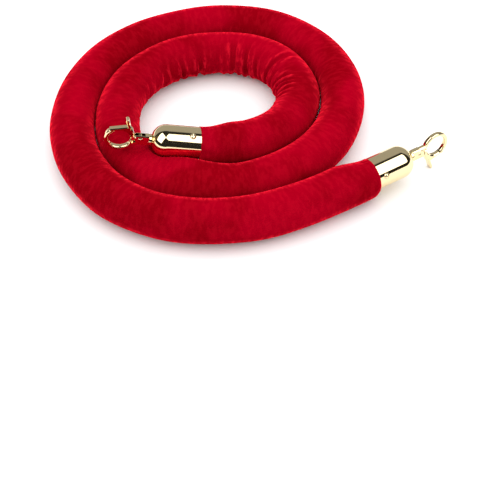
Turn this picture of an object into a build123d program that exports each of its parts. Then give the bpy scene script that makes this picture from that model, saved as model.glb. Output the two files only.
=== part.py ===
"""A velvet barrier rope, lying in a loose coil of two turns. Millimetres, +Z up.

The rope lies on the floor at z = 0, with the middle of its footprint at x = 0, y = 0.
Each end has a polished cap and a swivel snap hook. The outer end lies on the floor,
and the inner end climbs until its hook rests on the second turn.
"""

import os
from math import asin, atan2, cos, degrees, radians, sin, sqrt

from build123d import *

# ---------------------------------------------------------------- driving dimensions
# Rope
ROPE_D = 36.0  # over the velvet
COVER_WALL = 1.5  # velvet and its lining
LOAD_CORD_D = 4.0
SOFT_GAP = 0.1  # between one layer of the rope and the next

# The middle line of the rope, from the end inside the outer cap to the end inside
# the inner cap.
FIRST_TURN = [
    (107, -70, 19.5), (75, -90.5, 18), (41, -112, 18), (4, -127, 18), (-36, -131, 18),
    (-76, -123, 18), (-110, -101, 18), (-134, -66, 18), (-146, -24, 18), (-145, 22, 18),
    (-130, 66, 18), (-101, 101, 18), (-61, 123, 18), (-15, 132, 18), (29, 120, 18),
    (62, 89, 18), (79, 49, 18), (80, 5, 18), (66, -35, 18), (38, -67, 18),
]
SECOND_TURN = [
    (1, -87, 18), (-38, -95, 18), (-74, -84, 18), (-98, -55, 18), (-109, -18, 18),
    (-108, 20, 18), (-93, 55, 18), (-64, 81, 18), (-26, 91, 18), (11, 84, 18),
    (35, 60, 18), (44, 27, 18),
]
RISING_END = [(36, -8, 20), (17, -35.5, 26), (-11, -56.8, 32.6), (-50, -60.6, 39.8)]
ROUTE = [Vector(*point) for point in FIRST_TURN + SECOND_TURN + RISING_END]

# End cap
CAP_D = 27.0
CAP_WALL = 1.0
CAP_STRAIGHT = 27.5  # from the mouth to the start of the dome
CAP_LENGTH = 39.0
NOSE_R = 5.0  # flat end of the dome
NECK_LENGTH = 12.0  # velvet inside the cap
SHOULDER_LENGTH = 7.5  # velvet drawn in just outside the cap

# Cap screws, two in each cap
SCREW_D = 2.4
SCREW_HEAD_D = 5.2
SCREW_HEAD_HEIGHT = 1.5
SCREW_LENGTH = 7.0
SCREW_PLACE = 8.0  # from the mouth

# Wooden plug, and the thread that binds the velvet on it
PLUG_R = 10.8
PLUG_BACK = -9.0
PLUG_FRONT = 22.0
PLUG_FLANGE = 12.6  # where the plug widens to fill the cap
BINDING_START = 3.2
BINDING_WIDTH = 2.4
BINDING_DEPTH = 0.7
KNOT_D = 9.0

# Swivel
STEM_R = 2.8
STEM_HEAD_R = 4.2
STEM_HEAD_THICK = 1.6
WASHER_R = 4.7
WASHER_THICK = 1.0
END_PLAY = 0.15
COLLAR_R = 4.7
COLLAR_LENGTH = 2.8

# Hook, measured from the nose of the cap
SHANK_WIDTH = 9.8
SHANK_THICK = 5.0
EYE_X = 25.9
EYE_INNER_R = 8.8
EYE_OUTER_R = 12.2
EYE_THICK = 4.4
EYE_EDGE_R = 1.5  # the ring of the eye is rounded to this radius
EYE_NOSE_ANGLE = 58.0  # where the fixed arc of the eye ends
EYE_ROOT_ANGLE = -165.0  # where it leaves the shank
LAP_ANGLE = 13.0  # the gate laps over this much of the nose
LAP_DEPTH = 1.5

# Gate, its pin and spring
PIN_X = 9.2
PIN_Y = 1.4  # towards the thumb tab
PIN_R = 1.2
PIN_HEAD_R = 2.2
PIN_HEAD_HEIGHT = 0.8
PIN_CLEARANCE = 0.06
CHEEK_R = 5.2  # the cheeks beside the gate end in this radius about the pin
SLOT_WIDTH = 3.0
SLOT_BACK = 5.6
SLOT_FLOOR = -1.2
TONGUE_THICK = 1.4
TONGUE_R = 2.3
GATE_GAP = 0.25
GATE_BACK = (16.7, 11.0)  # the gate's outer edge, behind and in front of the tab
GATE_FRONT = (20.7, 13.2)
GATE_POINT = (35.7, 9.4)
TAB_ROOT = (18.9, 10.5)
TAB_TIP = (21.9, 20.2)
TAB_THICK = 2.4
TAB_WIDTH = 4.8
SPRING_R = 2.0
SPRING_WIRE = 0.5

# How each end is turned: which way the thumb tab points, and where the screws are,
# as an angle round the cap from the tab
OUTER_TAB = Vector(0, 0, -1)
INNER_TAB = Vector(0, -0.1, 1)
OUTER_SCREW_ANGLE = 250.0
INNER_SCREW_ANGLE = 338.0

# ---------------------------------------------------------------- worked-out sizes
ROPE_R = ROPE_D / 2
COVER_INNER_R = ROPE_R - COVER_WALL
CORE_R = COVER_INNER_R - SOFT_GAP
CAP_R = CAP_D / 2
CAP_INNER_R = CAP_R - CAP_WALL
NECK_R = CAP_INNER_R - SOFT_GAP
NECK_INNER_R = PLUG_R + SOFT_GAP
DOME_R = ((CAP_LENGTH - CAP_STRAIGHT) ** 2 + (CAP_R - NOSE_R) ** 2) / (2 * (CAP_R - NOSE_R))
DOME_CENTRE_R = CAP_R - DOME_R
STEM_HOLE_R = STEM_R + PIN_CLEARANCE
EYE = Vector(EYE_X, 0, 0)
PIN = Vector(PIN_X, PIN_Y, 0)


# ---------------------------------------------------------------- small helpers
def disc(radius, centre=(0, 0)):
    return Pos(*centre) * Circle(radius)


def ring(outer_r, inner_r, centre=(0, 0)):
    return disc(outer_r, centre) - disc(inner_r, centre)


def slab(sketch, low, high):
    """The sketch as a solid between two heights."""
    return Pos(0, 0, low) * extrude(sketch, amount=high - low, dir=(0, 0, 1))


def turned(points):
    """A solid of revolution about the X axis, from (along, radius) points."""
    return revolve(make_face(Polyline(*points, close=True)), axis=Axis.X)


def sector(outer_r, inner_r, start, end, centre):
    """The part of a ring between two angles, in degrees."""
    reach = 3 * outer_r
    steps = 12
    fan = [(0, 0)]
    for step in range(steps + 1):
        angle = radians(start + (end - start) * step / steps)
        fan.append((reach * cos(angle), reach * sin(angle)))
    wedge = make_face(Polyline(*fan, close=True))
    return Pos(*centre) * (ring(outer_r, inner_r) & wedge)


# ---------------------------------------------------------------- the rope itself
def corner_radii(points):
    """For each corner, the largest arc that its two runs leave room for."""
    radii = []
    for before, corner, after in zip(points, points[1:], points[2:]):
        run_in = corner - before
        run_out = after - corner
        half_turn = radians(run_in.get_angle(run_out) / 2)
        radii.append(0.45 * min(run_in.length, run_out.length) / sin(half_turn) * cos(half_turn))
    return radii


def rope_tube(path, radius):
    start = Plane(origin=path @ 0, z_dir=path % 0)
    return sweep(start * Circle(radius), path=path)


def end_plane(end_point, next_point, tab):
    """The frame of one end: X out through the hook, Y towards the thumb tab, and the
    origin at the middle of the cap's mouth."""
    out = (end_point - next_point).normalized()
    side = out.cross(tab).normalized()
    return Plane(origin=end_point - out * NECK_LENGTH, x_dir=out, z_dir=side)


def screw_hole(radius, angle):
    """Both screws' holes, right through the cap."""
    hole = Cylinder(radius, 4 * CAP_R)
    return Rot(X=angle) * Pos(SCREW_PLACE, 0, 0) * Rot(X=90) * hole


def velvet_neck():
    """The velvet drawn in at the shoulder and held inside the cap."""
    drop = ROPE_R - NECK_R
    with BuildSketch() as profile:
        with BuildLine():
            outside = EllipticalCenterArc(
                (-SHOULDER_LENGTH, NECK_R), SHOULDER_LENGTH - 0.3, drop, start_angle=0, arc_size=90
            )
            Polyline(
                outside @ 0, (BINDING_START, NECK_R), (BINDING_START, NECK_R - BINDING_DEPTH),
                (BINDING_START + BINDING_WIDTH, NECK_R - BINDING_DEPTH),
                (BINDING_START + BINDING_WIDTH, NECK_R), (NECK_LENGTH, NECK_R),
                (NECK_LENGTH, NECK_INNER_R), (0, NECK_INNER_R),
                (-SHOULDER_LENGTH, COVER_INNER_R), (-SHOULDER_LENGTH, ROPE_R),
            )
        make_face()
    return revolve(profile.sketch, axis=Axis.X)


def end_zone(start, radius=ROPE_D):
    """Everything from a distance before the mouth to beyond the cap."""
    return Pos(start, 0, 0) * Rot(Y=90) * Cylinder(
        radius, 2 * CAP_LENGTH, align=(Align.CENTER, Align.CENTER, Align.MIN)
    )


def make_cover(path, ends):
    cover = rope_tube(path, ROPE_R) - rope_tube(path, COVER_INNER_R)
    for plane, angle in ends:
        cover -= plane.location * end_zone(-SHOULDER_LENGTH)
        cover += plane.location * (velvet_neck() - screw_hole(SCREW_D / 2 + SOFT_GAP, angle))
    return cover


def make_core(path, ends):
    core = rope_tube(path, CORE_R) - rope_tube(path, LOAD_CORD_D / 2 + SOFT_GAP)
    for plane, _angle in ends:
        core -= plane.location * end_zone(PLUG_BACK - SOFT_GAP)
    return core


def make_load_cord(path, ends):
    """The cord runs the whole way, and a knot in front of each plug holds it."""
    cord = rope_tube(path, LOAD_CORD_D / 2)
    knot_place = PLUG_FRONT + SOFT_GAP + KNOT_D / 2
    for plane, _angle in ends:
        tail = Pos(NECK_LENGTH, 0, 0) * Rot(Y=90) * Cylinder(
            LOAD_CORD_D / 2, knot_place - NECK_LENGTH,
            align=(Align.CENTER, Align.CENTER, Align.MIN),
        )
        cord += plane.location * (tail + Pos(knot_place, 0, 0) * Sphere(KNOT_D / 2))
    return cord


# ---------------------------------------------------------------- pieces of one end
# Each is made with the middle of the cap's mouth at the origin and X towards the hook.
def dome_inner_radius(along):
    inner = DOME_R - CAP_WALL
    return DOME_CENTRE_R + sqrt(inner ** 2 - (along - CAP_STRAIGHT) ** 2)


def make_end_cap(angle):
    inner_nose = CAP_LENGTH - CAP_WALL
    with BuildSketch() as profile:
        with BuildLine():
            outside = TangentArc((CAP_STRAIGHT, CAP_R), (CAP_LENGTH, NOSE_R), tangent=(1, 0))
            inside = TangentArc(
                (CAP_STRAIGHT, CAP_INNER_R), (inner_nose, dome_inner_radius(inner_nose)),
                tangent=(1, 0),
            )
            Polyline(outside @ 0, (0.4, CAP_R), (0, CAP_R - 0.4), (0, CAP_INNER_R), inside @ 0)
            Polyline(
                outside @ 1, (CAP_LENGTH, STEM_HOLE_R), (inner_nose, STEM_HOLE_R), inside @ 1
            )
        make_face()
    cap = revolve(profile.sketch, axis=Axis.X)
    return cap - screw_hole(SCREW_D / 2 + SOFT_GAP, angle)


def one_screw():
    """A round-headed screw along Y, its head against the cap."""
    edge = SCREW_HEAD_D / 2
    dome_r = (edge ** 2 + SCREW_HEAD_HEIGHT ** 2) / (2 * SCREW_HEAD_HEIGHT)
    ball = Pos(0, CAP_R + SCREW_HEAD_HEIGHT - dome_r, 0) * Sphere(dome_r)
    head = ball & Pos(0, CAP_R, 0) * Rot(X=90) * Cylinder(edge, 2 * dome_r)
    head -= Rot(Y=90) * Cylinder(CAP_R, CAP_D)
    head &= Pos(0, CAP_R, 0) * Box(CAP_D, 2 * SCREW_HEAD_HEIGHT, CAP_D)
    shank = Pos(0, CAP_R - SCREW_LENGTH / 2 + 0.2, 0) * Rot(X=90) * Cylinder(
        SCREW_D / 2, SCREW_LENGTH
    )
    driver_slot = Pos(0, CAP_R + SCREW_HEAD_HEIGHT, 0) * Box(0.7, 1.0, CAP_D)
    return head + shank - driver_slot


def make_cap_screws(angle):
    place = Pos(SCREW_PLACE, 0, 0) * one_screw()
    return Compound(children=[Rot(X=angle) * place, Rot(X=angle + 180) * place])


def make_end_plug(angle):
    plug = turned([
        (PLUG_BACK, LOAD_CORD_D / 2 + SOFT_GAP), (PLUG_BACK, PLUG_R), (PLUG_FLANGE, PLUG_R),
        (PLUG_FLANGE, NECK_R), (PLUG_FRONT, NECK_R), (PLUG_FRONT, LOAD_CORD_D / 2 + SOFT_GAP),
    ])
    return plug - screw_hole(SCREW_D / 2 + SOFT_GAP / 2, angle)


def make_binding():
    """Three rounds of thread, side by side."""
    rounds = 3
    round_d = (BINDING_WIDTH - 2 * SOFT_GAP) / rounds
    middle_r = NECK_R - round_d / 2 - 0.02
    turns = []
    for index in range(rounds):
        along = BINDING_START + SOFT_GAP + round_d * (index + 0.5)
        section = Pos(along, middle_r) * Rectangle(round_d, 0.6 * round_d)
        turns.append(revolve(section, axis=Axis.X))
    return turns[0] + turns[1] + turns[2]


def make_washer():
    front = CAP_LENGTH - CAP_WALL - END_PLAY
    back = front - WASHER_THICK
    return turned([
        (back, STEM_HOLE_R), (back, WASHER_R), (front, WASHER_R), (front, STEM_HOLE_R),
    ])


# ---------------------------------------------------------------- pieces of one hook
# Each is made with the middle of the cap's nose at the origin.
def eye_ring(start, end):
    """A stretch of the eye's round-edged ring, between two angles in degrees."""
    width = EYE_OUTER_R - EYE_INNER_R
    section = Plane.XZ * Pos(EYE_INNER_R + width / 2, 0) * RectangleRounded(
        width, EYE_THICK, EYE_EDGE_R
    )
    stretch = revolve(section, axis=Axis.Z, revolution_arc=end - start)
    return Pos(EYE_X, 0, 0) * Rot(Z=start) * stretch


def make_hook():
    """The stem, collar, shank and the fixed arc of the eye, cast in one piece."""
    head_front = -CAP_WALL - WASHER_THICK - 2 * END_PLAY
    head_back = head_front - STEM_HEAD_THICK
    stem = turned([
        (head_back, 0), (head_back, 0.6 * STEM_HEAD_R), (head_back + 0.9, STEM_HEAD_R),
        (head_front, STEM_HEAD_R), (head_front, STEM_R), (END_PLAY, STEM_R),
        (END_PLAY, COLLAR_R - 0.5), (END_PLAY + 0.5, COLLAR_R),
        (COLLAR_LENGTH - 0.5, COLLAR_R), (COLLAR_LENGTH, COLLAR_R - 0.5),
        (COLLAR_LENGTH, 0),
    ])
    half_width = SHANK_WIDTH / 2
    cheeks = make_face(Polyline(
        (COLLAR_LENGTH - 0.5, -half_width), (PIN_X + CHEEK_R, -half_width),
        (PIN_X + CHEEK_R, half_width), (COLLAR_LENGTH - 0.5, half_width), close=True,
    ))
    front = Pos(PIN_X + 2 * CHEEK_R, 0) * Rectangle(4 * CHEEK_R, SHANK_WIDTH)
    cheeks -= front - disc(CHEEK_R, (PIN_X, PIN_Y))
    shank = slab(cheeks, -SHANK_THICK / 2, SHANK_THICK / 2)
    shank = chamfer(shank.edges().filter_by(Plane.XY), 0.7)

    step = sector(
        2 * EYE_OUTER_R, EYE_OUTER_R - LAP_DEPTH, EYE_NOSE_ANGLE - LAP_ANGLE,
        EYE_NOSE_ANGLE + LAP_ANGLE, (EYE_X, 0),
    )
    arc = eye_ring(EYE_ROOT_ANGLE, EYE_NOSE_ANGLE) - slab(step, -EYE_THICK, EYE_THICK)
    root_width = half_width + SLOT_FLOOR
    root_length = EYE_X - PIN_X
    root = Pos(PIN_X + root_length / 2, -half_width + root_width / 2)
    root *= Rectangle(root_length, root_width)
    root -= disc((EYE_INNER_R + EYE_OUTER_R) / 2, (EYE_X, 0))
    root_block = slab(root, -EYE_THICK / 2, EYE_THICK / 2)
    root_block = chamfer(root_block.edges().filter_by(Plane.XY), 0.9)

    slot_length = 2 * CHEEK_R + PIN_X - SLOT_BACK
    slot = Pos(SLOT_BACK + slot_length / 2, SLOT_FLOOR + SHANK_WIDTH, 0) * Box(
        slot_length, 2 * SHANK_WIDTH, SLOT_WIDTH
    )
    slot &= Pos(PIN_X, PIN_Y, 0) * Cylinder(CHEEK_R + 0.4, SLOT_WIDTH)
    pin_hole = Pos(PIN_X, PIN_Y, 0) * Cylinder(PIN_R, 2 * SHANK_THICK)
    return stem + shank + root_block + arc - slot - pin_hole


def make_gate():
    """The lever: a tongue in the slot, the arc that closes the eye, its lap, and the tab."""
    reach = CHEEK_R + GATE_GAP
    half = EYE_THICK / 2
    arc_end = EYE_NOSE_ANGLE + 1.2
    lap_end = EYE_NOSE_ANGLE - LAP_ANGLE + 2
    outline = make_face(Polyline(
        (PIN_X, SLOT_FLOOR + GATE_GAP), (PIN_X + reach, PIN_Y + 3.0), GATE_BACK, GATE_FRONT,
        GATE_POINT, (EYE_X + EYE_OUTER_R, 0), (EYE_X, SLOT_FLOOR + GATE_GAP), close=True,
    ))
    closing = sector(2 * EYE_OUTER_R, EYE_INNER_R, lap_end, 184, (EYE_X, 0)) & outline
    arm = slab(closing, -half, half)
    arm = chamfer(arm.edges().filter_by(Plane.XY), 0.7)
    nose = sector(EYE_OUTER_R - LAP_DEPTH + GATE_GAP, 1, lap_end - 5, arc_end, (EYE_X, 0))
    arm -= slab(nose, -half, half)
    arm -= Pos(PIN_X, PIN_Y, 0) * Cylinder(reach, 2 * EYE_THICK)

    tongue_low = -SLOT_WIDTH / 2 + 0.1
    bar = Pos(PIN_X + reach / 2 + 0.4, PIN_Y + 0.3) * Rectangle(reach + 0.8, 3.4)
    tongue = slab(disc(TONGUE_R, (PIN_X, PIN_Y)) + bar, tongue_low, tongue_low + TONGUE_THICK)

    root, tip = Vector(*TAB_ROOT), Vector(*TAB_TIP)
    lean = degrees(atan2(tip.Y - root.Y, tip.X - root.X))
    middle = (root + tip) * 0.5
    blade = Pos(middle.X, middle.Y) * Rot(Z=lean) * RectangleRounded(
        (tip - root).length + TAB_THICK, TAB_THICK, TAB_THICK / 2 - 0.05
    )
    tab = slab(blade, -TAB_WIDTH / 2, TAB_WIDTH / 2)
    tab = chamfer(tab.edges().filter_by(Plane.XY), 0.5)
    pin_hole = Pos(PIN_X, PIN_Y, 0) * Cylinder(PIN_R + PIN_CLEARANCE, 2 * SHANK_THICK)
    return arm + tongue + tab - pin_hole


def make_gate_pin():
    """A rivet across the shank, with a low dome at each side."""
    half = SHANK_THICK / 2
    dome_r = (PIN_HEAD_R ** 2 + PIN_HEAD_HEIGHT ** 2) / (2 * PIN_HEAD_HEIGHT)
    pin = Cylinder(PIN_R, SHANK_THICK)
    for side in (1, -1):
        ball = Pos(0, 0, side * (half + PIN_HEAD_HEIGHT - dome_r)) * Sphere(dome_r)
        keep = Pos(0, 0, side * (half + PIN_HEAD_HEIGHT)) * Box(
            4 * dome_r, 4 * dome_r, 2 * PIN_HEAD_HEIGHT
        )
        pin += ball & keep
    return Pos(PIN_X, PIN_Y, 0) * pin


def make_gate_spring():
    """A small torsion spring beside the tongue: its coil, and a leg along the slot."""
    low = -SLOT_WIDTH / 2 + 0.1 + TONGUE_THICK + 0.15
    high = SLOT_WIDTH / 2 - 0.1
    coil = slab(ring(SPRING_R, SPRING_R - SPRING_WIRE, (PIN_X, PIN_Y)), low, high)
    leg = Pos(PIN_X - SPRING_R / 2 - 0.4, PIN_Y - SPRING_R + SPRING_WIRE / 2, (low + high) / 2)
    leg = leg * Box(SPRING_R + 0.8, SPRING_WIRE, SPRING_WIRE)
    return coil + leg


# ---------------------------------------------------------------- the whole rope
def make_end(name, plane, angle):
    """The separate pieces of one end, each in its place, by node name."""
    nose = plane.location * Pos(CAP_LENGTH, 0, 0)
    return {
        name + "_end_cap": plane.location * make_end_cap(angle),
        name + "_cap_screws": plane.location * make_cap_screws(angle),
        name + "_end_plug": plane.location * make_end_plug(angle),
        name + "_binding": plane.location * make_binding(),
        name + "_swivel_washer": plane.location * make_washer(),
        name + "_hook": nose * make_hook(),
        name + "_gate": nose * make_gate(),
        name + "_gate_pin": nose * make_gate_pin(),
        name + "_gate_spring": nose * make_gate_spring(),
    }


def main():
    radii = corner_radii(ROUTE)
    path = FilletPolyline(*ROUTE, radius=radii)
    outer = end_plane(ROUTE[0], ROUTE[1], OUTER_TAB)
    inner = end_plane(ROUTE[-1], ROUTE[-2], INNER_TAB)
    ends = [(outer, OUTER_SCREW_ANGLE), (inner, INNER_SCREW_ANGLE)]

    pieces = {
        "velvet_cover": make_cover(path, ends),
        "foam_core": make_core(path, ends),
        "load_cord": make_load_cord(path, ends),
    }
    pieces.update(make_end("outer", *ends[0]))
    pieces.update(make_end("inner", *ends[1]))

    print("rope length", round(path.length, 1), "bend radii", [round(r) for r in radii])
    for name, plane in (("outer", outer), ("inner", inner)):
        axis = plane.x_dir
        print(name, "mouth", plane.origin, "axis", axis, "pin axis", plane.z_dir)
        print(name, "rises", round(degrees(asin(axis.Z)), 1), "degrees")
        print(name, "pin", plane.from_local_coords(Vector(CAP_LENGTH, 0, 0) + PIN))
        print(name, "eye", plane.from_local_coords(Vector(CAP_LENGTH, 0, 0) + EYE))

    os.makedirs("parts", exist_ok=True)
    for name, solid in pieces.items():
        export_step(solid, "parts/" + name + ".step")
        box = solid.bounding_box()
        print(f"{name:22s} volume {solid.volume:10.1f}  z {box.min.Z:6.2f} to {box.max.Z:6.2f}")
    whole = Compound(children=list(pieces.values())).bounding_box()
    print("whole", whole.min, whole.max)


main()
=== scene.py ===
"""The looks of a velvet barrier rope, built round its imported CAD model. Metres, +Z up.

The velvet sleeve and the padding under it are mesh tubes round the rope's smooth middle
line. The end caps, hooks, gates and screws are the CAD parts with better materials.
"""

import math
import random

import bpy
import numpy as np
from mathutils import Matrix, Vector


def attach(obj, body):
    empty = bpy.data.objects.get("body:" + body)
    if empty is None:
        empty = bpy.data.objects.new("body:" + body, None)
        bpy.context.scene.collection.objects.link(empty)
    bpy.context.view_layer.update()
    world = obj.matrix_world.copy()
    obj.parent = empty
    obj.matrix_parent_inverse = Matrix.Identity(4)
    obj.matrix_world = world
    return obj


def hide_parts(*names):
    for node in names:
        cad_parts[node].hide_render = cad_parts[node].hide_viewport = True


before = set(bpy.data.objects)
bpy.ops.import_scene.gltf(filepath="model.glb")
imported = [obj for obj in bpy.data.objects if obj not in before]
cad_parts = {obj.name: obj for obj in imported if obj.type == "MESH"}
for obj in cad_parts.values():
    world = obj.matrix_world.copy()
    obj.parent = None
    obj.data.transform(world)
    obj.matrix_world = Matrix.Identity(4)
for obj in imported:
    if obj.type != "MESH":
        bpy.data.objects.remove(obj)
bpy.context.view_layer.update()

# ---------------------------------------------------------------- sizes, in metres
MM = 0.001
ROPE_D = 36 * MM
ROPE_R = ROPE_D / 2
COVER_WALL = 1.5 * MM
CAP_R = 13.5 * MM
NECK_R = 12.35 * MM  # velvet inside the cap
NECK_LENGTH = 12 * MM
PLUG_BACK = 9 * MM  # how far the plug reaches into the rope, from the cap's mouth

# The sleeve's two ends
SHOULDER = 9.5 * MM  # rounded lower side
LONG_SHOULDER = 28 * MM  # slowly swelling upper side
UPPER_ANGLE = 43  # the middle of the upper side, in degrees from the top
RIM_ROLL = 1.4 * MM  # how far the velvet rolls over a cap's rim
RIM_R = CAP_R + 0.15 * MM
SHOULDER_RINGS = 26
GATHERS = 17  # pleats round each end
GATHER_HEIGHT = 0.28 * MM
GATHER_PLACE = 3.5 * MM  # from the cap's mouth
GATHER_LENGTH = 4 * MM
FADE = 12 * MM  # folds and waves fade out over this length next to each cap

# Places where the sleeve is fuller
TURN_SWELL = 0.3 * MM  # the sides, where neighbouring turns press on each other
SWELL_START = 850 * MM  # the second turn swells up beside the inner cap, from here
SWELL_END = 968 * MM
SWELL_RISE = 52 * MM  # length over which it rises
SWELL_FALL = 20 * MM  # and falls again
SWELL_ANGLE = 47  # degrees from the top
SWELL_SPREAD = 28  # degrees
SWELL_HEIGHT = 6.5 * MM
# Room the inner cap and hook need round their axis, in millimetres: past the mouth, radius
CAP_ROOM = [(-20, 18.5), (-3, 14.5), (32, 14.0), (42, 7.0), (60, 7.0), (61, 0)]

# Small folds and slow waves all along the sleeve
FOLD_MARGIN = 30 * MM  # no small fold is nearer an end of the line than this
FOLD_BEND = 0.10  # small folds start where the rope's radius over the bend's is this
FULL_FOLD_BEND = 0.12  # and are deepest when it is this much more
SMALL_FOLD_DEPTH = 0.9  # millimetres
FOLD_SPREAD = 26  # degrees over which a fold deepens
FOLD_BOTTOM = 150  # degrees from the top where every fold has half died out
RIDGE_HEIGHT = 0.45  # how far the velvet is pushed up beside a crease 1 deep
RIDGE_PLACE = 1.5  # fold widths from the crease
WAVES = 14
WAVE_HEIGHT = 0.09 * MM

# The rope's middle line, as in part.py, from the outer cap to the inner cap
FIRST_TURN = [
    (0.107, -0.070, 0.0195), (0.075, -0.0905, 0.018), (0.041, -0.112, 0.018),
    (0.004, -0.127, 0.018), (-0.036, -0.131, 0.018), (-0.076, -0.123, 0.018),
    (-0.110, -0.101, 0.018), (-0.134, -0.066, 0.018), (-0.146, -0.024, 0.018),
    (-0.145, 0.022, 0.018), (-0.130, 0.066, 0.018), (-0.101, 0.101, 0.018),
    (-0.061, 0.123, 0.018), (-0.015, 0.132, 0.018), (0.029, 0.120, 0.018),
    (0.062, 0.089, 0.018), (0.079, 0.049, 0.018), (0.080, 0.005, 0.018),
    (0.066, -0.035, 0.018), (0.038, -0.067, 0.018),
]
SECOND_TURN = [
    (0.001, -0.087, 0.018), (-0.038, -0.095, 0.018), (-0.074, -0.084, 0.018),
    (-0.098, -0.055, 0.018), (-0.109, -0.018, 0.018), (-0.108, 0.020, 0.018),
    (-0.093, 0.055, 0.018), (-0.064, 0.081, 0.018), (-0.026, 0.091, 0.018),
    (0.011, 0.084, 0.018), (0.035, 0.060, 0.018), (0.044, 0.027, 0.018),
]
RISING_END = [
    (0.036, -0.008, 0.020), (0.017, -0.0355, 0.026), (-0.011, -0.0568, 0.0326),
    (-0.050, -0.0606, 0.0398),
]

RINGS_PER_POINT = 32  # along the middle line, for each of its points
SLEEVE_RINGS = 1240  # along the sleeve, between its two ends
AROUND = 120  # points round the sleeve
PADDING_STEP = 4  # the padding has one ring and one point for this many of the sleeve's

CAMERA_PLACE = (0.0015, -1.0810, 0.8810)
CAMERA_TILT = 46.79  # degrees up from looking straight down
LENS = 119.3
SENSOR = 36

# What the shiny parts mirror: a soft box at each side and a grey far wall. The box's
# measures are those of a box 1 m away.
BOX_AIM = Vector((0.527, -0.331, 0.782))  # towards the right-hand box
BOX_DROP = 0.10  # its middle is this far below BOX_AIM
BOX_HALF_WIDTH = 0.40
BOX_HALF_HEIGHT = 0.49
BOX_EDGE = 0.06
BOX_LIGHT = 3.0
WALL_EDGE = (0.32, 0.42)  # the wall begins where a direction points this far backward
WALL_LIGHT = 0.38
ROOM_LIGHT = 0.02

# What lights everything else: a wide soft box overhead in a dimmer room
OVERHEAD_EDGE = (0.20, 0.45)  # the box begins where a direction points this far upward
OVERHEAD_LIGHT = 1.55
SIDE_LIGHT = 0.25

rng = random.Random(7)


# ---------------------------------------------------------------- camera
def make_camera():
    """A long lens, placed to match the photograph's view."""
    data = bpy.data.cameras.new("camera")
    data.sensor_width = SENSOR
    data.lens = LENS
    camera = bpy.data.objects.new("camera", data)
    camera.location = CAMERA_PLACE
    camera.rotation_euler = (math.radians(CAMERA_TILT), 0, 0)
    bpy.context.scene.collection.objects.link(camera)
    bpy.context.scene.camera = camera


# ---------------------------------------------------------------- the middle line
def middle_line():
    """Points along the smooth line that the rope follows, close together."""
    curve = bpy.data.curves.new("middle_line", "CURVE")
    curve.dimensions = "3D"
    curve.resolution_u = RINGS_PER_POINT
    points = FIRST_TURN + SECOND_TURN + RISING_END
    spline = curve.splines.new("NURBS")
    spline.points.add(len(points) - 1)
    for place, point in zip(spline.points, points):
        place.co = (*point, 1)
    spline.order_u = 3
    spline.use_endpoint_u = True
    holder = bpy.data.objects.new("middle_line", curve)
    mesh = bpy.data.meshes.new_from_object(holder)
    line = np.array([vertex.co for vertex in mesh.vertices])
    bpy.data.objects.remove(holder)
    return line


class Line:
    """The middle line, with its length so far, direction, side and bend at each point."""

    def __init__(self, points):
        steps = np.linalg.norm(np.diff(points, axis=0), axis=1)
        keep = np.concatenate([[True], steps > 1e-7])
        self.points = points[keep]
        steps = np.linalg.norm(np.diff(self.points, axis=0), axis=1)
        self.at = np.concatenate([[0], np.cumsum(steps)])
        self.length = self.at[-1]
        self.along = self.unit(np.gradient(self.points, self.at, axis=0))
        up = np.array([0, 0, 1.0])
        self.inside = self.unit(np.cross(self.along, up))
        self.up = np.cross(self.inside, self.along)
        turning = np.gradient(self.along, self.at, axis=0)
        bend = np.einsum("ij,ij->i", turning, self.inside)
        smooth = np.hanning(2 * RINGS_PER_POINT + 1)
        self.bend = np.convolve(bend, smooth / smooth.sum(), mode="same")

    @staticmethod
    def unit(vectors):
        return vectors / np.linalg.norm(vectors, axis=1)[:, None]

    def sample(self, places):
        """Point, direction, inside and up at these distances along the line."""
        found = []
        for values in (self.points, self.along, self.inside, self.up):
            columns = [np.interp(places, self.at, values[:, axis]) for axis in range(3)]
            found.append(np.stack(columns, axis=1))
        return found[0], self.unit(found[1]), self.unit(found[2]), self.unit(found[3])


def tube(name, line, places, radii):
    """A closed mesh tube: one ring of radii at each place along the line. Angle 0 is the
    top and a quarter turn is the inside of the coil."""
    centre, _, inside, up = line.sample(places)
    rings, around = radii.shape
    angles = 2 * np.pi * np.arange(around) / around
    out = up[:, None, :] * np.cos(angles)[None, :, None]
    out = out + inside[:, None, :] * np.sin(angles)[None, :, None]
    spots = centre[:, None, :] + out * radii[:, :, None]
    vertices = spots.reshape(-1, 3).tolist()
    faces = []
    for ring in range(rings - 1):
        for step in range(around):
            a = ring * around + step
            b = ring * around + (step + 1) % around
            faces.append((a, b, b + around, a + around))
    last = (rings - 1) * around
    faces.append(tuple(range(around - 1, -1, -1)))
    faces.append(tuple(range(last, last + around)))
    mesh = bpy.data.meshes.new(name)
    mesh.from_pydata(vertices, [], faces)
    mesh.shade_smooth()
    straight = np.stack([
        np.repeat(places, around), np.tile(np.cos(angles), rings) * ROPE_R,
        np.tile(np.sin(angles), rings) * ROPE_R,
    ], axis=1)
    laid_out = mesh.attributes.new("laid_out", "FLOAT_VECTOR", "POINT")
    laid_out.data.foreach_set("vector", straight.astype(np.float32).ravel())
    piece = bpy.data.objects.new(name, mesh)
    bpy.context.scene.collection.objects.link(piece)
    return piece


make_camera()
line = Line(middle_line())


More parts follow.
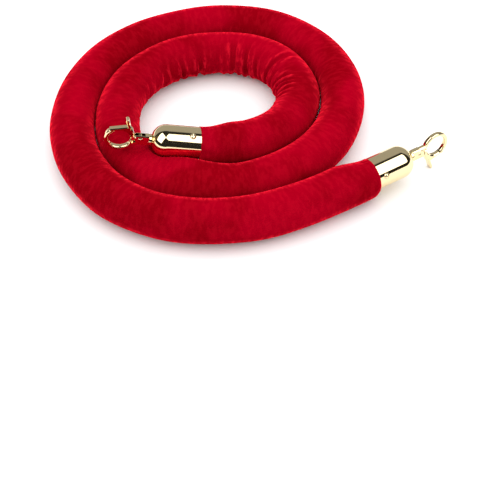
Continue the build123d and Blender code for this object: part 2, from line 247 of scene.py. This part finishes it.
# ---------------------------------------------------------------- the velvet's shape
# Folds that the sleeve makes where it is squeezed on the inside of a bend: distance along
# the rope in metres, depth and width in millimetres, how far they lean, and the angle from
# the top at which they end.
BIG_FOLDS = [
    (1.064, 1.3, 3.0, -0.08, 35), (1.090, 1.5, 3.2, -0.06, 40), (1.115, 1.8, 2.6, 0.02, 40),
    (1.136, 2.2, 2.6, 0.03, 34), (1.154, 1.4, 3.0, 0.06, 40), (1.1715, 2.8, 2.8, 0.02, 6),
    (1.187, 3.0, 2.6, 0.04, 8), (1.2015, 2.0, 2.4, 0.08, 30), (1.219, 2.7, 2.6, -0.12, -30),
    (1.231, 1.6, 2.2, -0.10, 24), (1.2415, 2.3, 2.4, -0.20, -2), (1.2495, 2.1, 2.2, -0.22, -8),
    (1.2585, 2.0, 2.2, -0.10, -6), (1.270, 1.5, 2.2, -0.02, 0), (1.281, 1.1, 2.4, 0.04, 14),
]


def fold_field(places, angles):
    """How deep the folds are at each place and angle, in metres. Positive is inward."""
    depth = np.zeros((len(places), len(angles)))
    turn = np.where(angles > 180, angles - 360, angles)
    small = []
    place = FOLD_MARGIN
    while place < line.length - FOLD_MARGIN:
        bend = np.interp(place, line.at, line.bend)
        squeeze = max(0.0, bend * ROPE_R - FOLD_BEND)
        size = min(1.0, squeeze / FULL_FOLD_BEND) * rng.uniform(0.35, 1.0)
        width = rng.uniform(2.2, 4.2)
        lean = rng.uniform(-0.12, 0.12)
        top = rng.uniform(40, 70)
        small.append((place, SMALL_FOLD_DEPTH * size, width, lean, top))
        place += rng.uniform(7 * MM, 14 * MM)
    for centre, deep, width, lean, top in BIG_FOLDS + small:
        if deep <= 0.02:
            continue
        reach = (turn - top) / FOLD_SPREAD
        share = 1 / (1 + np.exp(-4 * (reach - 0.9)))
        share = share / (1 + np.exp((turn - FOLD_BOTTOM) / 9))
        middle = centre + lean * MM * (turn - 90) / 2  # leans about the inside of the bend
        across = (places[:, None] - middle[None, :]) / (width * MM)
        crease = np.exp(-across ** 2)
        ridge = RIDGE_HEIGHT * np.exp(-((np.abs(across) - RIDGE_PLACE) ** 2) * 1.6)
        depth += deep * MM * share[None, :] * (crease - ridge)
    return depth


def soft_waves(places, angles):
    """The slow unevenness of a padded sleeve, in metres."""
    wave = np.zeros((len(places), len(angles)))
    turn = np.radians(angles)
    for _ in range(WAVES):
        length = rng.uniform(50 * MM, 160 * MM)
        phase = rng.uniform(0, 2 * math.pi)
        around = rng.choice([1, 2, 2, 3])
        spin = rng.uniform(0, 2 * math.pi)
        wave += WAVE_HEIGHT * np.outer(
            np.sin(2 * math.pi * places / length + phase), np.cos(around * turn + spin)
        )
    return wave


def end_profile(from_mouth):
    """The sleeve's radius at this distance from a cap's mouth, on its rounded lower side."""
    share = (from_mouth + RIM_ROLL) / (SHOULDER + RIM_ROLL)
    return RIM_R + (ROPE_R - RIM_R) * math.sqrt(1 - (1 - share) ** 2.6)


def smooth_step(share):
    """From 0 to 1 with a soft start and end."""
    share = np.clip(share, 0, 1)
    return share * share * (3 - 2 * share)


def sleeve_rings():
    """Places along the line and the sleeve's plain radius there. Each end is drawn in,
    rolls over the cap's rim and goes inside it."""
    mouth = NECK_LENGTH
    start = [(0.0, NECK_R), (mouth - 0.4 * MM, NECK_R), (mouth + 0.5 * MM, NECK_R + 0.3 * MM)]
    start += [(mouth + 0.3 * MM, CAP_R), (mouth - RIM_ROLL + 0.3 * MM, CAP_R + 0.1 * MM)]
    for step in range(SHOULDER_RINGS):
        share = step / (SHOULDER_RINGS - 1)
        back = -RIM_ROLL + share ** 1.7 * (SHOULDER + RIM_ROLL)
        start.append((mouth + back, end_profile(back)))
    full = mouth + SHOULDER + 0.7 * MM
    middle = [(place, ROPE_R) for place in np.linspace(full, line.length - full, SLEEVE_RINGS)]
    finish = [(line.length - place, radius) for place, radius in reversed(start)]
    rings = start + middle + finish
    return np.array([ring[0] for ring in rings]), np.array([ring[1] for ring in rings])


def swell_beside_cap(places, angles, radii):
    """The second turn swells up beside the inner cap, as far as the cap leaves it room."""
    along = smooth_step((places - SWELL_START) / SWELL_RISE)
    along = along * smooth_step((SWELL_END - places) / SWELL_FALL)
    around = np.exp(-((angles - SWELL_ANGLE) / SWELL_SPREAD) ** 2)
    swell = SWELL_HEIGHT * np.outer(along, around)
    centre, _, inside, up = line.sample(places)
    turn = np.radians(angles)[None, :, None]
    out = up[:, None, :] * np.cos(turn) + inside[:, None, :] * np.sin(turn)
    axis = line.along[-1]
    mouth = line.points[-1] - NECK_LENGTH * axis
    room_places, room_radii = np.array(CAP_ROOM).T * MM
    for _ in range(4):
        from_mouth = centre[:, None, :] + out * (radii + swell)[:, :, None] - mouth
        forward = from_mouth @ axis
        away = np.linalg.norm(from_mouth - forward[:, :, None] * axis, axis=2)
        short = np.maximum(0, np.interp(forward, room_places, room_radii) - away)
        swell = np.maximum(0, swell - 1.2 * short)
    return radii + swell


def make_sleeve():
    """The velvet sleeve, with the places and radii of its rings."""
    places, plain = sleeve_rings()
    angles = 360 * np.arange(AROUND) / AROUND
    ends = np.minimum(places - NECK_LENGTH, line.length - NECK_LENGTH - places)
    turn = np.radians(angles)
    free = np.clip((ends - 1.0 * MM) / FADE, 0, 1)[:, None]
    # Each end swells slowly on its upper side and has a round shoulder below
    slow = RIM_R + (ROPE_R - RIM_R) * smooth_step(ends / LONG_SHOULDER)
    upper = (0.5 + 0.5 * np.cos(turn - math.radians(UPPER_ANGLE)))[None, :] ** 1.5
    radii = plain[:, None] * (1 - upper) + np.minimum(plain, slow)[:, None] * upper
    depth = fold_field(places, angles)
    radii = radii - free * depth + free * soft_waves(places, angles)
    # Neighbouring turns press against each other
    radii = radii + free * TURN_SWELL * (np.sin(turn) ** 4)[None, :]
    radii = swell_beside_cap(places, angles, radii)
    # Small gathers where the velvet is drawn into each cap
    near = np.exp(-((ends - GATHER_PLACE) / GATHER_LENGTH) ** 2)[:, None]
    pleats = np.cos(GATHERS * turn + 2 * np.sin(3 * turn)) * (0.6 + 0.4 * np.cos(5 * turn))
    radii = radii + GATHER_HEIGHT * near * pleats[None, :]
    # It lies a little flat on the floor
    height = line.sample(places)[0][:, 2]
    low = height[:, None] + radii * np.cos(turn)[None, :]
    radii = radii + np.where(np.cos(turn) < -0.3, np.minimum(low, 0), 0)
    piece = tube("velvet_sleeve", line, places, radii)
    raised = piece.data.attributes.new("raised", "FLOAT", "POINT")
    raised.data.foreach_set("value", (-depth / MM).astype(np.float32).ravel())
    return piece, places, radii


def make_padding(sleeve_places, sleeve_radii):
    """The foam under the velvet: the same folds, one fabric's thickness further in."""
    plug_end = NECK_LENGTH + PLUG_BACK + 0.5 * MM
    start = np.searchsorted(sleeve_places, plug_end)
    end = np.searchsorted(sleeve_places, line.length - plug_end)
    # The least radius nearby, so that the coarser padding stays under every fold
    least = sleeve_radii.copy()
    nearby = range(-PADDING_STEP, PADDING_STEP + 1)
    for rings in nearby:
        for points in nearby:
            least = np.minimum(least, np.roll(sleeve_radii, (rings, points), axis=(0, 1)))
    every = slice(start, end, PADDING_STEP)
    inner = least[every, ::PADDING_STEP] - COVER_WALL
    return tube("foam_padding", line, sleeve_places[every], inner)


# ---------------------------------------------------------------- materials
class Finish:
    """A node material under construction: a Principled shader and helpers to feed it."""

    def __init__(self, name, **values):
        self.material = bpy.data.materials.new(name)
        self.material.use_nodes = True
        self.nodes = self.material.node_tree.nodes
        self.links = self.material.node_tree.links
        self.shader = self.nodes["Principled BSDF"]
        for key, value in values.items():
            self.shader.inputs[key.replace("_", " ")].default_value = value
        place = self.nodes.new("ShaderNodeTexCoord")
        self.place = place.outputs["Object"]

    def attribute(self, name, output="Vector"):
        node = self.nodes.new("ShaderNodeAttribute")
        node.attribute_name = name
        return node.outputs[output]

    def stretched(self, source, scale):
        node = self.nodes.new("ShaderNodeMapping")
        node.inputs["Scale"].default_value = scale
        self.links.new(source, node.inputs["Vector"])
        return node.outputs["Vector"]

    def noise(self, scale, detail=3.0, roughness=0.55, source=None):
        node = self.nodes.new("ShaderNodeTexNoise")
        node.inputs["Scale"].default_value = scale
        node.inputs["Detail"].default_value = detail
        node.inputs["Roughness"].default_value = roughness
        self.links.new(source or self.place, node.inputs["Vector"])
        return node.outputs["Fac"]

    def wave(self, scale, distortion, source=None):
        node = self.nodes.new("ShaderNodeTexWave")
        node.inputs["Scale"].default_value = scale
        node.inputs["Distortion"].default_value = distortion
        self.links.new(source or self.place, node.inputs["Vector"])
        return node.outputs["Fac"]

    def facing(self, blend):
        node = self.nodes.new("ShaderNodeLayerWeight")
        node.inputs["Blend"].default_value = blend
        return node.outputs["Facing"]

    def spread(self, value, low, high, new_low=0.0, new_high=1.0):
        node = self.nodes.new("ShaderNodeMapRange")
        node.interpolation_type = "SMOOTHSTEP"
        for key, number in (("From Min", low), ("From Max", high), ("To Min", new_low),
                            ("To Max", new_high)):
            node.inputs[key].default_value = number
        self.links.new(value, node.inputs["Value"])
        return node.outputs["Result"]

    def math(self, operation, first, second):
        node = self.nodes.new("ShaderNodeMath")
        node.operation = operation
        for socket, value in zip(node.inputs, (first, second)):
            if isinstance(value, float):
                socket.default_value = value
            else:
                self.links.new(value, socket)
        return node.outputs["Value"]

    def mix(self, factor, first, second):
        """A colour between two; each is an RGB triple or another output."""
        node = self.nodes.new("ShaderNodeMix")
        node.data_type = "RGBA"
        self.links.new(factor, node.inputs["Factor"])
        for socket, value in ((node.inputs[6], first), (node.inputs[7], second)):
            if isinstance(value, tuple):
                socket.default_value = (*value, 1)
            else:
                self.links.new(value, socket)
        return node.outputs[2]

    def feed(self, name, output):
        self.links.new(output, self.shader.inputs[name])

    def bump(self, height, distance, strength=1.0):
        node = self.nodes.new("ShaderNodeBump")
        node.inputs["Strength"].default_value = strength
        node.inputs["Distance"].default_value = distance
        self.links.new(height, node.inputs["Height"])
        self.feed("Normal", node.outputs["Normal"])


def velvet():
    """Crimson pile, dark where it is seen straight on, with a painted sheen in its base colour
    that brightens it where it is seen from the side, and painted highlights in short crushed
    strokes, mostly along the crests of the folds."""
    made = Finish(
        "crimson_velvet", Roughness=0.85, Specular_IOR_Level=0.0, Sheen_Weight=0.12,
        Sheen_Roughness=0.25, Sheen_Tint=(1.0, 0.02, 0.05, 1),
    )
    strokes = made.stretched(made.attribute("laid_out"), (1.0, 0.4, 0.4))
    slow = made.spread(made.noise(20, 2.0), 0.38, 0.64)
    short = made.spread(made.noise(300, 3.0, 0.6, strokes), 0.44, 0.60)
    fine = made.noise(1000, 2.0, 0.6, strokes)
    # How raised the folds are: where the painted highlights go on their crests
    crest = made.spread(made.attribute("raised", "Fac"), -0.2, 0.7, 0.08, 1.0)
    deep = made.mix(slow, (0.21, 0.0, 0.004), (0.31, 0.0, 0.009))
    # Bright red of the painted sheen and painted highlights, with a fine mottle
    lit = made.mix(fine, (0.60, 0.0, 0.016), (1.0, 0.022, 0.045))
    # Painted sheen: Layer Weight facing lightens the base colour towards the silhouettes, in
    # short strokes
    rim = made.spread(made.facing(0.5), 0.42, 0.88)
    painted_pile_sheen = made.math("MULTIPLY", rim, made.spread(short, 0.0, 1.0, 0.35, 1.0))
    # Painted highlight on the raised crests of the folds, in short crushed strokes
    painted_crest_highlight = made.math("MULTIPLY", made.math("MULTIPLY", crest, short), 0.40)
    # The base colour is the plain deep red, lightened by the painted sheen and the painted
    # highlights
    made.feed("Base Color", made.mix(made.math("MAXIMUM", painted_pile_sheen, painted_crest_highlight), deep, lit))
    made.bump(made.noise(1500, 2.0, 0.7), 0.25 * MM, 0.5)
    return made.material


def gold(name, colour=(0.92, 0.76, 0.45)):
    """Polished pale gold plate, with faint polishing marks."""
    made = Finish(name, Metallic=1.0)
    marks = made.noise(400, 3.0, 0.6, made.stretched(made.place, (1.0, 1.0, 0.15)))
    cloud = made.noise(60, 2.0)
    made.feed("Roughness", made.spread(marks, 0.3, 0.8, 0.035, 0.08))
    darker = tuple(channel * 0.94 for channel in colour)
    made.feed("Base Color", made.mix(cloud, darker, colour))
    made.bump(marks, 0.004 * MM, 0.1)
    return made.material


def steel(name, tone):
    """Plain turned steel with a fine grain."""
    made = Finish(name, Metallic=1.0)
    grain = made.noise(700, 3.0, 0.6, made.stretched(made.place, (1.0, 1.0, 0.1)))
    made.feed("Roughness", made.spread(grain, 0.3, 0.8, 0.22, 0.38))
    made.feed("Base Color", made.mix(grain, (tone, tone, tone), (tone + 0.1,) * 3))
    return made.material


def turned_wood():
    """Pale wood with wavy grain."""
    made = Finish("turned_beech", Roughness=0.6)
    grain = made.wave(180, 6.0, made.stretched(made.place, (1.0, 0.25, 1.0)))
    made.feed("Base Color", made.mix(grain, (0.50, 0.32, 0.17), (0.66, 0.47, 0.28)))
    made.bump(grain, 0.05 * MM, 0.4)
    return made.material


def thread():
    """Dark red thread with a fine twist."""
    made = Finish("waxed_thread", Roughness=0.55)
    twist = made.wave(900, 1.0)
    made.feed("Base Color", made.mix(twist, (0.22, 0.01, 0.02), (0.36, 0.02, 0.04)))
    made.bump(twist, 0.1 * MM, 0.6)
    return made.material


def foam():
    """Cream foam with fine cells."""
    made = Finish("soft_foam", Roughness=0.95)
    cells = made.noise(1400, 2.0, 0.7)
    made.feed("Base Color", made.mix(cells, (0.66, 0.62, 0.50), (0.84, 0.81, 0.72)))
    made.bump(cells, 0.3 * MM, 0.8)
    return made.material


def laid_cord():
    """Undyed cord with the marks of its strands."""
    made = Finish("laid_cord", Roughness=0.85)
    strands = made.wave(260, 0.6)
    made.feed("Base Color", made.mix(strands, (0.55, 0.50, 0.40), (0.80, 0.77, 0.68)))
    made.bump(strands, 0.3 * MM, 0.8)
    return made.material


def dress(names, material):
    """Gives these CAD pieces one material in place of their own."""
    for name in names:
        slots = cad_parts[name].data.materials
        slots.clear()
        slots.append(material)


def both(*pieces):
    """The names of these pieces at the outer and the inner end."""
    return [end + "_" + piece for end in ("outer", "inner") for piece in pieces]


# ---------------------------------------------------------------- room and light
def make_floor():
    """The pale floor that the object lies on."""
    half = 3.0
    mesh = bpy.data.meshes.new("floor")
    corners = [(-half, -half, 0), (half, -half, 0), (half, half, 0), (-half, half, 0)]
    mesh.from_pydata(corners, [], [(0, 1, 2, 3)])
    floor = bpy.data.objects.new("floor", mesh)
    bpy.context.scene.collection.objects.link(floor)
    made = Finish("pale_floor", Base_Color=(0.92, 0.92, 0.92, 1), Roughness=0.9)
    mesh.materials.append(made.material)


class Sky:
    """The world's nodes, with helpers to join them."""

    def __init__(self):
        world = bpy.data.worlds.new("studio")
        bpy.context.scene.world = world
        world.use_nodes = True
        self.nodes = world.node_tree.nodes
        self.links = world.node_tree.links
        self.nodes.clear()

    def fill(self, socket, value):
        if isinstance(value, bpy.types.NodeSocket):
            self.links.new(value, socket)
        else:
            socket.default_value = value

    def join(self, kind, operation, *values):
        node = self.nodes.new(kind)
        node.operation = operation
        for socket, value in zip(node.inputs, values):
            self.fill(socket, value)
        return node.outputs["Value"]

    def number(self, operation, *values):
        return self.join("ShaderNodeMath", operation, *values)

    def towards(self, direction, aim):
        return self.join("ShaderNodeVectorMath", "DOT_PRODUCT", direction, aim)

    def step(self, value, low, high, top=1.0):
        node = self.nodes.new("ShaderNodeMapRange")
        self.links.new(value, node.inputs["Value"])
        node.inputs["From Min"].default_value = low
        node.inputs["From Max"].default_value = high
        node.inputs["To Max"].default_value = top
        return node.outputs["Result"]

    def background(self, strength):
        node = self.nodes.new("ShaderNodeBackground")
        node.inputs["Color"].default_value = (1, 1, 1, 1)
        self.fill(node.inputs["Strength"], strength)
        return node.outputs[0]

    def choose(self, factor, first, second):
        node = self.nodes.new("ShaderNodeMixShader")
        for socket, value in zip(node.inputs, (factor, first, second)):
            self.links.new(value, socket)
        return node.outputs[0]

    def direction(self):
        """X, Y and Z of the direction that a ray leaves in."""
        place = self.nodes.new("ShaderNodeTexCoord")
        parts = self.nodes.new("ShaderNodeSeparateXYZ")
        self.links.new(place.outputs["Generated"], parts.inputs[0])
        return parts.outputs["X"], parts.outputs["Y"], parts.outputs["Z"]


def overhead_light(sky, height):
    """Light from a wide soft box overhead, and a little from everywhere."""
    return sky.number("ADD", sky.step(height, *OVERHEAD_EDGE, OVERHEAD_LIGHT), SIDE_LIGHT)


def mirrored_room(sky, x, y, z):
    """A dark room with a soft box at each side and a grey far wall."""
    one_side = sky.nodes.new("ShaderNodeCombineXYZ")
    sky.links.new(sky.number("ABSOLUTE", x), one_side.inputs["X"])
    sky.links.new(y, one_side.inputs["Y"])
    sky.links.new(z, one_side.inputs["Z"])
    way = one_side.outputs[0]
    box_side = Vector((0, 0, 1)).cross(BOX_AIM).normalized()
    box_up = BOX_AIM.cross(box_side)
    ahead = sky.number("MAXIMUM", sky.towards(way, BOX_AIM), 0.001)
    sideways = sky.number("DIVIDE", sky.towards(way, box_side), ahead)
    upward = sky.number("DIVIDE", sky.towards(way, box_up), ahead)
    from_middle = sky.number("ABSOLUTE", sky.number("ADD", upward, BOX_DROP))
    wide = sky.step(sky.number("ABSOLUTE", sideways), BOX_HALF_WIDTH + BOX_EDGE, BOX_HALF_WIDTH)
    high = sky.step(from_middle, BOX_HALF_HEIGHT + BOX_EDGE, BOX_HALF_HEIGHT)
    box = sky.number("MULTIPLY", sky.number("MULTIPLY", wide, high), BOX_LIGHT)
    wall = sky.step(y, *WALL_EDGE, WALL_LIGHT)
    return sky.number("ADD", sky.number("MAXIMUM", box, wall), ROOM_LIGHT)


def make_sky():
    """A soft box overhead lights the object. Its shiny parts mirror a studio of their own,
    and the camera sees plain white behind the floor."""
    sky = Sky()
    x, y, z = sky.direction()
    light = sky.background(overhead_light(sky, z))
    studio = sky.background(mirrored_room(sky, x, y, z))
    path = sky.nodes.new("ShaderNodeLightPath")
    lit = sky.choose(path.outputs["Is Glossy Ray"], light, studio)
    seen = sky.choose(path.outputs["Is Camera Ray"], lit, sky.background(1.0))
    output = sky.nodes.new("ShaderNodeOutputWorld")
    sky.links.new(seen, output.inputs["Surface"])


# ---------------------------------------------------------------- the object
sleeve, sleeve_places, sleeve_radii = make_sleeve()
sleeve.data.materials.append(velvet())
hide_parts("velvet_cover")
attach(sleeve, "rope")

padding = make_padding(sleeve_places, sleeve_radii)
padding.data.materials.append(foam())
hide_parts("foam_core")
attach(padding, "rope")

gold_plate = gold("polished_gold")
dress(both("end_cap", "hook", "gate", "gate_pin"), gold_plate)
dress(both("cap_screws"), gold("screw_gold", (0.86, 0.70, 0.42)))
dress(both("end_plug"), turned_wood())
dress(both("binding"), thread())
dress(both("swivel_washer"), steel("plain_steel", 0.45))
dress(both("gate_spring"), steel("spring_steel", 0.35))
dress(["load_cord"], laid_cord())

make_floor()
make_sky()
bpy.context.scene.view_settings.view_transform = "Standard"
